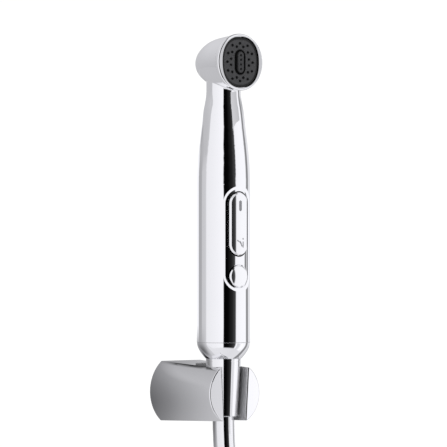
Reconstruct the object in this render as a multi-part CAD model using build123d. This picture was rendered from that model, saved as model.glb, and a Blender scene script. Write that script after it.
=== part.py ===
from build123d import *
import math
import os

# Hand bidet shower standing in its wall holder, with its hose, in millimetres.
# Origin: centre of the holder's back face. +Y into the wall, -Y to the front, +Z up.
# "Forward" below is a distance in front of the wand's own upright axis.

# Clearances
gap = 0.3                 # between neighbours that do not fit each other
slip = 0.05               # radial, where a round piece runs in a bore
seal_slip = 0.02          # radial, between a seal ring and its bore
seat_gap = 0.25           # radial, between the hose nut and the holder's bore
pin_slip = 0.02           # radial, where the rocker's pin is pressed into its ears
past = 1.0                # a cutting shape runs this far past the face it opens

# Wall holder
holder_depth = 56.5
holder_wall_r = 25.0
holder_draft = 4.9        # the front's radius is this much less than the wall end's
top_half_w = 15.77        # half width of the flat top at the wall
low_half_w = 16.36        # and of the flat underside
top_land = 1.0            # flat top left each side of the slot, at the front
low_land = 1.5
holder_edge_r = 0.9
holder_wall = 2.4
holder_cavity = 24.0      # depth of the hollow behind the bore
slot_lip = 0.55           # the slot is this much narrower than the bore, each side
slot_edge_r = 0.9
wand_out = 44.6           # from the wall to the wand's axis
plate_thick = 7.0
screw_spacing = 30.0
screw_hole_r = 2.3
screw_head_r = 4.4
grub_r = 1.6
grub_length = 6.5
grub_key = 1.6            # across the flats of its socket
grub_key_deep = 1.5
grub_sunk = 0.6           # its end stays this far inside the flat underside
grub_fit = 0.01           # radial, screw to its thread in the plate

# Hose nut on the handset
nut_top = 22.1            # height of the nut's upper end
nut_length = 36.9
nut_top_r = 11.3
nut_low_r = 9.0
nut_lip = 1.6             # floor of the nut under the hose tail
nut_groove_down = 1.6
nut_groove_w = 0.5
nut_groove_deep = 0.3
nut_low_edge = 0.5        # bevel at the nut's lower end
nut_top_edge = 0.3        # bevel at its upper end
thread_r = 9.9            # pitch radius of a G 1/2 pipe thread
thread_length = 11.0

# Hose ends
hose_r = 7.0
ferrule_r = 7.6
tail_bore_r = 4.5
flange_r = 9.35
flange_thick = 2.0
washer_thick = 2.1
washer_bore_r = 5.2

# End collar and inlet nipple
collar_height = 10.2
collar_inset = 0.15       # the collar is this much slimmer than the handle
collar_low_r = 11.6
spigot_length = 9.7
spigot_r = 14.45
spigot_wall = 2.4
collar_shape = ((0.40, 0.18), (0.68, 0.50))   # share of the way down, share of the narrowing
collar_ring_share = 0.55  # the seal ring's place along the spigot
nipple_r = 10.1
nipple_flange_r = 11.8
nipple_flange_thick = 4.0
nipple_up = 1.7           # underside of the nipple's flange above the parting line
pipe_r = 5.5
pipe_bore_r = 3.8
cartridge_r = 6.5
cartridge_length = 14.0

# Handle, neck and head
handle_r = 17.0
shell_wall = 2.2
handle_straight = 99.7
taper_length = 60.0
taper_shape = ((0.40, 0.23), (0.62, 0.50), (0.82, 0.76))  # share of the way up, share of the narrowing
neck_r = 10.9
head_rise = 17.7          # from the neck's top to the barrel's axis
barrel_front = 14.05      # forward
barrel_front_r = 17.6
barrel_mid = 8.0
barrel_mid_r = 16.9
barrel_back = 5.0         # behind the wand's axis, where the dome starts
barrel_back_r = 15.1
dome_reach = 21.0         # behind the wand's axis
dome_shape = (0.56, 0.76) # share of the dome's depth, share of its radius there
crease_r = 0.9            # fillet where the neck meets the barrel
mouth_r = 14.9            # counterbore that takes the bezel's spigot
mouth_deep = 2.9
barrel_bore_r = 14.0
barrel_bore_back = 3.0    # forward end of the hollow's dome
hollow_shape = (0.62, 0.70)   # share of the hollow dome's depth, share of its radius there

# Sunk panel, its floor as round as the handle
panel_up = 34.0           # its floor's lower end above the parting line
panel_length = 63.3
panel_w = 18.2
panel_deep = 1.0
panel_edge = 0.9          # bevel round the panel, down its wall
panel_edge_w = 1.9        # and across the handle
panel_back = 12.4         # forward, the flat inside of the panel's wall
panel_back_room = 2.5

# Rocker
rocker_up = 41.1          # its middle above the panel's lower end
rocker_length = 40.0
rocker_w = 13.9
rocker_r = 17.5           # its face is round about the wand's axis
rocker_skirt = 12.6
rocker_bevel = 0.8        # across its face
rocker_bevel_down = 1.1
rocker_gap = 0.6          # to its window, at the sides
rocker_end_gap = 0.8      # and at the ends, which swing
rocker_skin = 1.5
pivot_forward = 10.2
pin_r = 1.0
pin_sunk = 0.1            # the pin's ends stay this far inside the ears
boss_half_w = 5.0
boss_half_h = 2.2
boss_back = 8.6
lever_tip = 1.4
lever_half_w = 1.5
lever_half_h = 1.2
frame_length = 47.0
frame_w = 16.0
frame_thick = 2.05
ear_out = 8.9
ear_back = 8.2
ear_front = 11.6
ear_half_h = 2.5

# Push button
button_up = 8.0           # its middle above the panel's lower end
button_r = 6.9
button_crown = 17.3
button_dome_r = 20.0
button_bevel = 0.6
button_hole_gap = 0.3
button_rim = 0.55         # bevel round its window
button_skin = 1.6
button_flange_r = 7.9
button_flange_thick = 1.2
button_travel = 2.5       # into the handle
stem_r = 1.9
stem_pin_r = 1.2
stem_pin_length = 1.4
spring_r = 4.6
spring_turns = 5
wire_r = 0.35

# Valve body and what moves in it
valve_r = 14.4
valve_up = 23.7           # its lower end above the parting line
valve_length = 72.0
valve_flat = 6.5
bore_back = 1.0           # the spool's axis behind the wand's axis
spool_r = 3.9
spool_waist_r = 2.2
spool_above = 5.0
spool_below = 20.5
spool_groove = 3.0
spool_groove_r = 1.95
land_length = 5.0
spool_top_land = 6.0
bore_end_room = 2.5
channel_r = 2.4
lever_room_w = 2.3        # half width of the lever's slot in the valve body
lever_room_h = 2.2        # its height over and under the lever
spool_ring_in = 2.5       # the spool's seal rings, from its ends and its groove
plunger_ring_in = 1.5
plunger_r = 3.4
plunger_waist_r = 1.6
plunger_front = 6.3
plunger_back = 6.5
plunger_waist_front = 4.6
plunger_waist_back = 1.6
inlet_depth = 7.0
ring_r = 0.6              # half thickness of the small seal rings
port_side = 4.2           # the two outlets, each side of the middle
port_back = 7.2
spray_port_down = 9.5     # below the rocker's pivot
jet_port_down = 14.5
tube_r = 3.2
tube_bore_r = 2.2
tube_back = 1.0
socket_depth = 6.0

# Check valve
seat_bore_r = 3.4
seat_thick = 3.0
cartridge_bore_r = 5.2
poppet_r = 4.4
poppet_thick = 1.6
poppet_stem_r = 1.1
spider_thick = 1.5
spider_hole_r = 1.2
spider_holes = 4
poppet_stem_out = 0.5     # the stem stands out of its guide
cartridge_room = 0.4      # between the strainer and the cartridge
check_spring_r = 2.4
check_turns = 4
check_wire_r = 0.3
strainer_thick = 0.5
strainer_hole_r = 0.45
strainer_pitch = 1.9
strainer_rows = 5
strainer_rim = 1.2

# Spray head
bezel_r = 18.0
bezel_front = 17.8
bezel_round = 1.1
bezel_back = 14.35
bezel_step = 0.2          # the bezel's back edge stands this far outside the barrel
bezel_flare = 1.0
face_half_w = 14.7        # half the opening
face_half_h = 16.2
face_power = 2.3          # squareness of the opening
face_count = 24
face_gap = 0.45
face_front = 17.05
face_thick = 1.1
face_edge = 0.25
mat_thick = 1.0
mat_gap = 0.15            # the mat is this much smaller than the opening
nipple_hole_r = 0.88
nipple_base_r = 0.8
nipple_tip_r = 0.6
nipple_proud = 0.6
outer_half_w = 10.1       # rows of nozzles
outer_half_h = 11.9
inner_half_w = 7.2
inner_half_h = 10.0
row_power = 2.6
row_count = 12
slot_length = 15.7
slot_w = 8.3
insert_length = 13.7
insert_w = 5.2
insert_proud = 1.0
insert_hole_r = 0.75
insert_count = 4
insert_pitch = 2.9
insert_foot = 1.5
insert_foot_thick = 1.3
insert_edge = 0.35
insert_pocket = 2.0       # depth of the pocket that feeds the jets, and its narrowing
island_w = 3.0            # wider than the insert's foot
distributor_r = 13.75
distributor_back = 7.0
chamber_r = 12.7
chamber_deep = 3.0
manifold_half_w = 7.3
manifold_low = 8.5
manifold_high = 5.0
manifold_back = 5.0
tube_top = 2.0            # below the barrel's axis
way_r = 1.5               # the narrow ways inside the valve body and the distributor
head_ring_r = 0.85

# Hose route, coil and far end
hose_length = 1250.0
run = 40.0
entry_turn = 52.0         # from straight down to the coil's line, in two equal turns
coil_r = 78.0             # at the middle of the turns
coil_pitch = 15.5
first_band = 200.0        # degrees of the coil's shape that reach back to the entry
last_band_start = 160.0   # degrees from the entry to where the last turn's shape starts
end_room = 60.0           # least straight hose under the coil
coil_bevel = 3.6
tie_w = 12.0
tie_thick = 1.6
end_ferrule = 12.0
end_nut_back = 3.0        # the nut reaches this far over the ferrule
end_nut_length = 16.0
end_nut_flats = 24.0
end_nut_bevel = 1.0
end_thread = 8.7

# Heights and places that follow from the sizes above
wand_y = -wand_out
holder_front_r = holder_wall_r - holder_draft
slot_in = seat_gap - slot_lip
holder_top_back = math.sqrt(holder_wall_r ** 2 - top_half_w ** 2)
holder_top_front = math.sqrt(holder_front_r ** 2 - (nut_top_r + slot_in + top_land) ** 2)
holder_low_back = math.sqrt(holder_wall_r ** 2 - low_half_w ** 2)
holder_low_front = math.sqrt(holder_front_r ** 2 - (nut_low_r + slot_in + low_land) ** 2)
nut_low = nut_top - nut_length
parting = nut_top + collar_height
taper_start = parting + handle_straight
neck_top = taper_start + taper_length
head_z = neck_top + head_rise
panel_low = parting + panel_up
panel_middle = panel_low + panel_length / 2
rocker_z = panel_low + rocker_up
button_z = panel_low + button_up
valve_low = parting + valve_up
valve_top = valve_low + valve_length
nipple_end = nut_top - thread_length
flange_top = nipple_end - washer_thick
flange_low = flange_top - flange_thick
cartridge_low = nipple_end + strainer_thick + cartridge_room
tube_top_z = head_z - tube_top
mat_back = face_front - face_thick - mat_thick
hose_start = nut_low + nut_lip + gap
panel_floor_r = handle_r - panel_deep
button_face_r = button_r - button_bevel
button_edge = button_crown - button_dome_r + math.sqrt(button_dome_r ** 2 - button_face_r ** 2)
button_side = button_edge - button_bevel


def turned(profile):
    """A closed outline of (radius, height) corners turned about Z."""
    outline = Polyline(*[(r, 0, z) for r, z in profile], close=True)
    return revolve(make_face(outline), Axis.Z)


def upright(solid):
    """Places a piece made about Z on the wand's axis."""
    return Pos(0, wand_y, 0) * solid


def facing(solid, height):
    """Places a piece made along +Z so that +Z looks forward at a height on the wand."""
    return Pos(0, wand_y, height) * Rot(90, 0, 0) * solid


def disc(radius, low, high):
    """A round bar about Z between two levels."""
    return Pos(0, 0, low) * Cylinder(radius, high - low, align=(Align.CENTER, Align.CENTER, Align.MIN))


def block(x0, x1, y0, y1, z0, z1):
    """A box between two corners."""
    return Pos((x0 + x1) / 2, (y0 + y1) / 2, (z0 + z1) / 2) * Box(x1 - x0, y1 - y0, z1 - z0)


def racetrack(length, width, low, high, taper=0.0):
    """An upright slot shape in X and Y, between two levels."""
    return extrude(Pos(0, 0, low) * SlotOverall(length, width, rotation=90), high - low, taper=taper)


def seal_ring(outer_r, half_thick, z=0.0):
    """A round rubber ring about Z, by its outer radius."""
    return Pos(0, 0, z) * Torus(outer_r - half_thick, half_thick)


def squared_oval(half_w, half_h, power, count, start=0.0):
    """Points of a slightly squared oval, |x/w|^n + |y/h|^n = 1, at equal angles."""
    points = []
    for i in range(count):
        a = math.radians(start + 360 * i / count)
        x, y = math.sin(a), math.cos(a)
        reach = (abs(x / half_w) ** power + abs(y / half_h) ** power) ** (-1 / power)
        points.append((reach * x, reach * y))
    return points


def oval_prism(inset, low, high):
    """The face opening's shape, smaller by inset all round, between two levels."""
    points = squared_oval(face_half_w - inset, face_half_h - inset, face_power, face_count)
    return extrude(Pos(0, 0, low) * make_face(Spline(*points, periodic=True)), high - low)


def coil_spring(radius, wire, turns, length):
    """A helical spring about Z from 0 to length, its wire drawn six-sided."""
    rise = length - 2 * wire
    path = Helix(pitch=rise / turns, height=rise, radius=radius)
    section = Plane(path @ 0, z_dir=path % 0) * RegularPolygon(wire, 6)
    return Pos(0, 0, wire) * sweep(section, path, is_frenet=True)


def nut_r(z):
    """Outside radius of the conical hose nut at a height."""
    return nut_low_r + (nut_top_r - nut_low_r) * (z - nut_low) / nut_length


def handle_solid(inset, low):
    """Handle and neck: a round bar that tapers to the neck, smaller by inset."""
    wide, slim = handle_r - inset, neck_r - inset
    shares = [(0, 0), *taper_shape, (1, 1)]
    points = [(wide - drop * (wide - slim), 0, taper_start + up * taper_length) for up, drop in shares]
    curve = Spline(*points, tangents=[(0, 0, 1), (0, 0, 1)])
    rest = Polyline(
        (slim, 0, neck_top), (slim, 0, head_z), (0, 0, head_z),
        (0, 0, low), (wide, 0, low), (wide, 0, taper_start),
    )
    return revolve(make_face([curve, rest]), Axis.Z)


def barrel_solid():
    """Outside of the spray head: a cone that widens forward, with a domed back."""
    deep, wide = dome_shape
    curve = Spline(
        (barrel_mid_r, 0, barrel_mid),
        (barrel_back_r, 0, -barrel_back),
        (wide * barrel_back_r, 0, -barrel_back - deep * (dome_reach - barrel_back)),
        (0, 0, -dome_reach),
        tangents=[(barrel_mid_r - barrel_front_r, 0, barrel_mid - barrel_front), (-1, 0, 0)],
    )
    rest = Polyline(
        (0, 0, -dome_reach), (0, 0, barrel_front),
        (barrel_front_r, 0, barrel_front), (barrel_mid_r, 0, barrel_mid),
    )
    return revolve(make_face([curve, rest]), Axis.Z)


def barrel_hollow():
    """Inside of the spray head, with the counterbore at its mouth."""
    back = -dome_reach + shell_wall
    deep, wide = hollow_shape
    curve = Spline(
        (barrel_bore_r, 0, barrel_bore_back),
        (wide * barrel_bore_r, 0, deep * back),
        (0, 0, back),
        tangents=[(-0.35, 0, -1), (-1, 0, 0)],
    )
    rest = Polyline(
        (0, 0, back),
        (0, 0, barrel_front + past),
        (mouth_r, 0, barrel_front + past),
        (mouth_r, 0, barrel_front - mouth_deep),
        (barrel_bore_r, 0, barrel_front - mouth_deep),
        (barrel_bore_r, 0, barrel_bore_back),
    )
    return revolve(make_face([curve, rest]), Axis.Z)


def rim_on(solid, radius, low, high, half_w):
    """Edges that lie on a round face about the wand's axis, between two heights, within a half width."""
    found = []
    for edge in solid.edges():
        places = [edge @ share for share in (0, 0.3, 0.7, 1)]
        on_face = all(abs(math.hypot(p.X, p.Y - wand_y) - radius) < slip / 10 for p in places)
        if on_face and all(low - slip < p.Z < high + slip and abs(p.X) < half_w + slip for p in places):
            found.append(edge)
    return found


def round_face(solid, radius, height):
    """The face of a round bar about the wand's axis that reaches a height at its front."""
    front = Vertex(0, wand_y - radius, height)
    faces = solid.faces().filter_by(GeomType.CYLINDER)
    return min(faces, key=lambda face: face.distance_to(front))


def body_shell():
    """Neck, barrel and handle in one moulding, with the sunk panel and its windows."""
    bar, head = upright(handle_solid(0, parting)), facing(barrel_solid(), head_z)
    outside = bar + head
    crease = [e for e in outside.edges() if neck_top - 3 < e.center().Z < head_z - 1 and e.length > 5]
    crease = [e for e in crease if e.geom_type not in (GeomType.CIRCLE, GeomType.LINE)]
    outside = fillet(crease, crease_r) if crease else outside
    panel = facing(racetrack(panel_length, panel_w, 0, handle_r + past), panel_middle)
    panel_top = panel_low + panel_length
    outside -= panel - upright(disc(panel_floor_r, panel_low - past, panel_top + past))
    rim = rim_on(outside, handle_r, panel_low, panel_top, panel_w / 2)
    handle_face = round_face(outside, handle_r, parting + past)
    outside = chamfer(rim, length=panel_edge_w, length2=panel_edge, reference=handle_face)
    backing = block(
        -handle_r, handle_r,
        -panel_length / 2 - panel_back_room, panel_length / 2 + panel_back_room,
        panel_back, handle_r,
    )
    hollow = upright(handle_solid(shell_wall, parting - past)) - facing(backing, panel_middle)
    shell = outside - hollow - facing(barrel_hollow(), head_z)
    window_l, window_w = rocker_length + 2 * rocker_end_gap, rocker_w + 2 * rocker_gap
    window = racetrack(window_l, window_w, valve_flat, handle_r)
    shell -= facing(window, rocker_z)
    hole_r = button_r + button_hole_gap
    shell -= facing(disc(hole_r, valve_flat, handle_r), button_z)
    rim = rim_on(shell, panel_floor_r, button_z - hole_r, button_z + hole_r, hole_r)
    return chamfer(rim, button_rim)


def head_bezel():
    """Polished ring that holds the face: rounded outside, squared oval opening, spigot behind."""
    mouth_back = barrel_front - mouth_deep + gap
    ring = turned([
        (distributor_r + gap, mouth_back),
        (mouth_r - slip, mouth_back),
        (mouth_r - slip, bezel_back),
        (barrel_front_r + bezel_step, bezel_back),
        (bezel_r, bezel_back + bezel_flare),
        (bezel_r, bezel_front),
        (distributor_r + gap, bezel_front),
    ])
    rim = ring.edges().filter_by(GeomType.CIRCLE).group_by(Axis.Z)[-1].sort_by(SortBy.RADIUS)[-1]
    ring = fillet(rim, bezel_round)
    ring -= oval_prism(0, mat_back, bezel_front + past)
    return facing(ring, head_z)


def nozzle_places():
    """Middles of the two rows of nozzles."""
    outer = squared_oval(outer_half_w, outer_half_h, row_power, row_count)
    inner = squared_oval(inner_half_w, inner_half_h, row_power, row_count, 180 / row_count)
    return outer + inner


def spray_face():
    """Dark face with a hole for each nozzle and an oblong slot in its middle."""
    plate = oval_prism(face_gap, face_front - face_thick, face_front)
    plate = chamfer(plate.faces().sort_by(Axis.Z)[-1].edges(), face_edge)
    for x, y in nozzle_places():
        plate -= Pos(x, y, 0) * disc(nipple_hole_r, 0, bezel_front)
    plate -= racetrack(slot_length, slot_w, 0, bezel_front)
    return facing(plate, head_z)


def nozzle_mat():
    """Rubber mat behind the face, with a tapered nipple through each hole."""
    top = face_front - face_thick
    mat = oval_prism(mat_gap, mat_back, top)
    mat -= racetrack(insert_length + 2 * slip, insert_w + 2 * slip, 0, bezel_front)
    height = face_front + nipple_proud - top
    for x, y in nozzle_places():
        mat += Pos(x, y, top) * Cone(
            nipple_base_r, nipple_tip_r, height, align=(Align.CENTER, Align.CENTER, Align.MIN)
        )
    return facing(mat, head_z)


def jet_insert():
    """Oblong insert with four jets in a row, its foot behind the mat."""
    foot_l, foot_w = insert_length + insert_foot, insert_w + insert_foot
    piece = racetrack(foot_l, foot_w, mat_back - insert_foot_thick, mat_back)
    piece += racetrack(insert_length, insert_w, mat_back, face_front + insert_proud)
    piece = chamfer(piece.faces().sort_by(Axis.Z)[-1].edges(), insert_edge)
    for i in range(insert_count):
        up = (i - (insert_count - 1) / 2) * insert_pitch
        piece -= Pos(0, up, 0) * disc(insert_hole_r, 0, bezel_front + insert_proud + past)
    return facing(piece, head_z)


def distributor():
    """Chamber block behind the mat: ring channel for the spray, pocket for the jets, two sockets."""
    front = mat_back
    piece = disc(distributor_r, distributor_back, front)
    piece += block(
        -manifold_half_w, manifold_half_w, -manifold_low, manifold_high, -manifold_back, distributor_back
    )
    foot_l, foot_w = insert_length + insert_foot, insert_w + insert_foot
    island = racetrack(foot_l + island_w, foot_w + island_w, 0, front + past)
    foot_back = front - insert_foot_thick
    piece -= disc(chamber_r, front - chamber_deep, front + past) - island
    piece -= racetrack(foot_l + 2 * slip, foot_w + 2 * slip, foot_back - slip, front + past)
    pocket_l, pocket_w = insert_length - insert_pocket, insert_w - insert_pocket
    piece -= racetrack(pocket_l, pocket_w, foot_back - insert_pocket, front)
    groove_z = (distributor_back + front - chamber_deep) / 2
    groove = disc(distributor_r + past, groove_z - head_ring_r, groove_z + head_ring_r)
    piece -= groove - disc(barrel_bore_r - 2 * head_ring_r - slip, 0, front)
    for side in (-1, 1):
        x = side * port_side
        low, high = -manifold_low - past, -tube_top + slip
        socket = Rot(-90, 0, 0) * disc(tube_r + slip, low, high)
        piece -= Pos(x, 0, -tube_back) * socket
    piece -= Pos(-port_side, -tube_top - tube_r, 0) * disc(tube_bore_r, -tube_back, front - past)
    slant = Pos(port_side / 2, -tube_top - tube_r, 0) * block(
        -port_side / 2 - way_r, port_side / 2, -way_r, way_r, -tube_back, distributor_back + past
    )
    piece -= slant
    piece -= Pos(0, -tube_top - tube_r, 0) * disc(way_r, distributor_back, foot_back)
    return facing(piece, head_z)


def head_seal():
    """Rubber ring between the distributor and the barrel."""
    groove_z = (distributor_back + mat_back - chamber_deep) / 2
    return facing(seal_ring(barrel_bore_r - seal_slip, head_ring_r, groove_z), head_z)


def water_tube(side):
    """One of the two straight tubes from the valve body up the neck."""
    tube = turned([
        (tube_bore_r, valve_top - socket_depth + slip),
        (tube_r, valve_top - socket_depth + slip),
        (tube_r, tube_top_z),
        (tube_bore_r, tube_top_z),
    ])
    return Pos(side * port_side, wand_y + tube_back, 0) * tube


def valve_body():
    """Block behind the panel: bores for the spool and the plunger, and the water's ways."""
    piece = disc(valve_r, valve_low, valve_top)
    piece -= block(-valve_r, valve_r, -valve_r - past, -valve_flat, valve_low - past, valve_top + past)
    spool_low = rocker_z - spool_below - bore_end_room
    piece -= Pos(0, bore_back, 0) * disc(spool_r + slip, spool_low, rocker_z + spool_above + bore_end_room)
    swing = lever_half_h + lever_room_h
    piece -= block(
        -lever_room_w, lever_room_w, -valve_flat - past, bore_back, rocker_z - swing, rocker_z + swing
    )
    piece -= Pos(0, bore_back, 0) * disc(channel_r, valve_low + inlet_depth - past, spool_low + past)
    piece -= disc(pipe_r + slip, valve_low - past, valve_low + inlet_depth)
    bore = disc(plunger_r + slip, -plunger_back - button_travel - past, valve_flat + past)
    piece -= Pos(0, 0, button_z) * Rot(90, 0, 0) * bore
    way_top = valve_top - socket_depth - tube_bore_r
    for side, port in ((-1, rocker_z - spray_port_down), (1, rocker_z - jet_port_down)):
        x = side * port_side
        piece -= Pos(x, port_back, 0) * disc(tube_bore_r, port, way_top + tube_bore_r)
        piece -= Pos(x, tube_back, 0) * disc(tube_r + slip, valve_top - socket_depth, valve_top + past)
        piece -= Pos(x, 0, way_top) * Rot(-90, 0, 0) * disc(tube_bore_r, tube_back, port_back)
        piece -= Pos(x, tube_back, 0) * disc(tube_bore_r, way_top, valve_top)
        piece -= Pos(x, 0, port + tube_bore_r) * Rot(-90, 0, 0) * disc(way_r, bore_back, port_back)
    return upright(piece)


def diverter_spool():
    """Sliding spool with two sealed lands and the groove that the rocker's lever moves."""
    top, half = rocker_z + spool_above, spool_groove / 2
    land_1 = rocker_z - half - spool_top_land
    land_2 = land_1 - land_length
    piece = turned([
        (0, rocker_z - spool_below), (spool_r, rocker_z - spool_below),
        (spool_r, land_2), (spool_waist_r, land_2), (spool_waist_r, land_1), (spool_r, land_1),
        (spool_r, rocker_z - half), (spool_groove_r, rocker_z - half),
        (spool_groove_r, rocker_z + half), (spool_r, rocker_z + half),
        (spool_r, top), (0, top),
    ])
    for z in spool_ring_heights():
        groove = disc(spool_r + past, z - ring_r, z + ring_r)
        piece -= groove - disc(spool_r - 2 * ring_r - slip, z - past, z + past)
    return upright(Pos(0, bore_back, 0) * piece)


def spool_ring_heights():
    """Heights of the two seal rings on the spool."""
    return (rocker_z - spool_groove / 2 - spool_ring_in, rocker_z - spool_below + spool_ring_in)


def spool_seals():
    """Two rubber rings on the spool."""
    rings = [seal_ring(spool_r - seal_slip, ring_r, z) for z in spool_ring_heights()]
    return upright(Pos(0, bore_back, 0) * Compound(children=rings))


def rocker_frame():
    """Frame behind the panel with two ears for the rocker's pin."""
    top = panel_back - slip
    piece = racetrack(frame_length, frame_w, top - frame_thick, top)
    for side in (-1, 1):
        x0, x1 = sorted((side * (rocker_w / 2 + gap), side * ear_out))
        piece += block(x0, x1, -ear_half_h, ear_half_h, ear_back, ear_front)
    piece -= racetrack(rocker_length + 2 * rocker_end_gap, rocker_w + 2 * gap, 0, handle_r)
    piece -= Pos(0, 0, pivot_forward) * Rot(0, 90, 0) * Cylinder(pin_r + pin_slip, 4 * ear_out)
    return facing(piece, rocker_z)


def rocker_pin():
    """Steel pin across the handle on which the rocker tilts."""
    pin = Pos(0, 0, pivot_forward) * Rot(0, 90, 0) * Cylinder(pin_r, 2 * (ear_out - pin_sunk))
    return facing(pin, rocker_z)


def rocker():
    """Rocker cap, its face as round as the handle, with bevelled edges, a pivot boss and its lever."""
    piece = facing(racetrack(rocker_length, rocker_w, rocker_skirt, rocker_r + past), rocker_z)
    piece = piece & upright(disc(rocker_r, rocker_z - rocker_length, rocker_z + rocker_length))
    rim = rim_on(piece, rocker_r, rocker_z - rocker_length / 2, rocker_z + rocker_length / 2, rocker_w / 2)
    face = round_face(piece, rocker_r, rocker_z)
    piece = chamfer(rim, length=rocker_bevel, length2=rocker_bevel_down, reference=face)
    hollow_w = rocker_w - 2 * rocker_skin
    hollow = facing(racetrack(rocker_length - 2 * rocker_skin, hollow_w, 0, rocker_r), rocker_z)
    roof = rocker_r - rocker_bevel_down - rocker_skin
    piece -= hollow & upright(disc(roof, rocker_z - rocker_length, rocker_z + rocker_length))
    post = block(-boss_half_w, boss_half_w, -boss_half_h, boss_half_h, boss_back, roof)
    post += block(-lever_half_w, lever_half_w, -lever_half_h, lever_half_h, lever_tip, boss_back)
    piece += facing(post, rocker_z)
    pin_hole = Pos(0, 0, pivot_forward) * Rot(0, 90, 0) * Cylinder(pin_r + slip, 2 * rocker_w)
    return piece - facing(pin_hole, rocker_z)


def button_roof():
    """Forward place of the inside of the button's cap."""
    return button_side - button_skin


def push_button():
    """Domed round button: hollow cap with a bevelled edge, holding flange and stem, turned as one."""
    flange_front = panel_back - gap
    flange_back = flange_front - button_flange_thick
    roof = button_roof()
    pin_end = plunger_front - stem_pin_length
    half_way = button_crown - button_dome_r + math.sqrt(button_dome_r ** 2 - button_face_r ** 2 / 4)
    dome = ThreePointArc(
        (button_face_r, 0, button_edge), (button_face_r / 2, 0, half_way), (0, 0, button_crown)
    )
    rest = Polyline(
        (0, 0, button_crown), (0, 0, pin_end), (stem_pin_r, 0, pin_end),
        (stem_pin_r, 0, plunger_front), (stem_r, 0, plunger_front), (stem_r, 0, roof),
        (button_r - button_skin, 0, roof), (button_r - button_skin, 0, flange_back),
        (button_flange_r, 0, flange_back), (button_flange_r, 0, flange_front), (button_r, 0, flange_front),
        (button_r, 0, button_side), (button_face_r, 0, button_edge),
    )
    return facing(revolve(make_face([dome, rest]), Axis.Z), button_z)


def button_spring():
    """Spring round the stem, from the valve body to the button's roof."""
    length = button_roof() - valve_flat
    return facing(Pos(0, 0, valve_flat) * coil_spring(spring_r, wire_r, spring_turns, length), button_z)


def plunger_ring_places():
    """Forward places of the two seal rings on the plunger."""
    front_middle = (plunger_front + plunger_waist_front) / 2
    back_middle = (plunger_waist_back - plunger_back) / 2
    return front_middle, back_middle - plunger_ring_in


def stop_plunger():
    """Plunger on the button's stem: a waist that opens the water's way when it is pressed."""
    piece = turned([
        (0, -plunger_back), (plunger_r, -plunger_back), (plunger_r, plunger_waist_back),
        (plunger_waist_r, plunger_waist_back), (plunger_waist_r, plunger_waist_front),
        (plunger_r, plunger_waist_front), (plunger_r, plunger_front),
        (stem_pin_r + slip, plunger_front), (stem_pin_r + slip, plunger_front - stem_pin_length - slip),
        (0, plunger_front - stem_pin_length - slip),
    ])
    for z in plunger_ring_places():
        groove = disc(plunger_r + past, z - ring_r, z + ring_r)
        piece -= groove - disc(plunger_r - 2 * ring_r - slip, z - past, z + past)
    return facing(piece, button_z)


def plunger_seals():
    """Two rubber rings on the plunger."""
    rings = [seal_ring(plunger_r - seal_slip, ring_r, z) for z in plunger_ring_places()]
    return facing(Compound(children=rings), button_z)


def end_collar():
    """Rounded collar that closes the handle, with a spigot inside the shell."""
    high_r = handle_r - collar_inset
    shares = [(0, 0), *collar_shape, (1, 1)]
    narrowing = high_r - collar_low_r
    points = [(high_r - inward * narrowing, 0, parting - down * collar_height) for down, inward in shares]
    curve = Spline(*points, tangents=[(0, 0, -1), (-1, 0, -1.1)])
    spigot_top = parting + spigot_length
    seat = parting + nipple_up
    rest = Polyline(
        (collar_low_r, 0, nut_top), (nipple_r + slip, 0, nut_top), (nipple_r + slip, 0, seat),
        (spigot_r - spigot_wall, 0, seat), (spigot_r - spigot_wall, 0, spigot_top),
        (spigot_r, 0, spigot_top), (spigot_r, 0, parting), (high_r, 0, parting),
    )
    piece = revolve(make_face([curve, rest]), Axis.Z)
    z = collar_ring_z()
    groove_r = handle_r - shell_wall - 2 * head_ring_r - slip
    piece -= disc(handle_r, z - head_ring_r, z + head_ring_r) - disc(groove_r, z - past, z + past)
    return upright(piece)


def collar_ring_z():
    """Height of the seal ring on the collar's spigot."""
    return parting + collar_ring_share * spigot_length


def collar_seal():
    """Rubber ring between the collar's spigot and the shell."""
    return upright(seal_ring(handle_r - shell_wall - seal_slip, head_ring_r, collar_ring_z()))


def inlet_nipple():
    """Brass nipple: pipe thread below, flange on the collar, pipe up into the valve body."""
    seat = parting + nipple_up
    flange = seat + nipple_flange_thick
    top = valve_low + inlet_depth - past
    step = cartridge_low + cartridge_length + gap
    piece = turned([
        (cartridge_r + slip, nipple_end), (thread_r, nipple_end), (thread_r, nut_top),
        (nipple_r, nut_top), (nipple_r, seat), (nipple_flange_r, seat), (nipple_flange_r, flange),
        (pipe_r, flange), (pipe_r, top), (pipe_bore_r, top), (pipe_bore_r, step), (cartridge_r + slip, step),
    ])
    z = valve_low + inlet_depth / 2
    groove = disc(pipe_r + past, z - ring_r, z + ring_r)
    piece -= groove - disc(pipe_r - 2 * ring_r - slip, z - past, z + past)
    return upright(piece)


def inlet_seal():
    """Rubber ring on the nipple's pipe."""
    return upright(seal_ring(pipe_r, ring_r, valve_low + inlet_depth / 2))


def check_valve_body():
    """Cartridge in the nipple: seat below, a guide with four holes above."""
    low, high = cartridge_low, cartridge_low + cartridge_length
    piece = turned([
        (seat_bore_r, low), (cartridge_r, low), (cartridge_r, high), (poppet_stem_r + slip, high),
        (poppet_stem_r + slip, high - spider_thick), (cartridge_bore_r, high - spider_thick),
        (cartridge_bore_r, low + seat_thick), (seat_bore_r, low + seat_thick),
    ])
    ring = (poppet_stem_r + cartridge_bore_r) / 2
    for place in PolarLocations(ring, spider_holes):
        piece -= place * disc(spider_hole_r, high - spider_thick - past, high + past)
    return upright(piece)


def check_poppet():
    """Poppet that the water lifts off its seat, with a guide stem."""
    low = cartridge_low + seat_thick + slip
    piece = disc(poppet_r, low, low + poppet_thick)
    piece += disc(poppet_stem_r, low, cartridge_low + cartridge_length + poppet_stem_out)
    return upright(piece)


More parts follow.
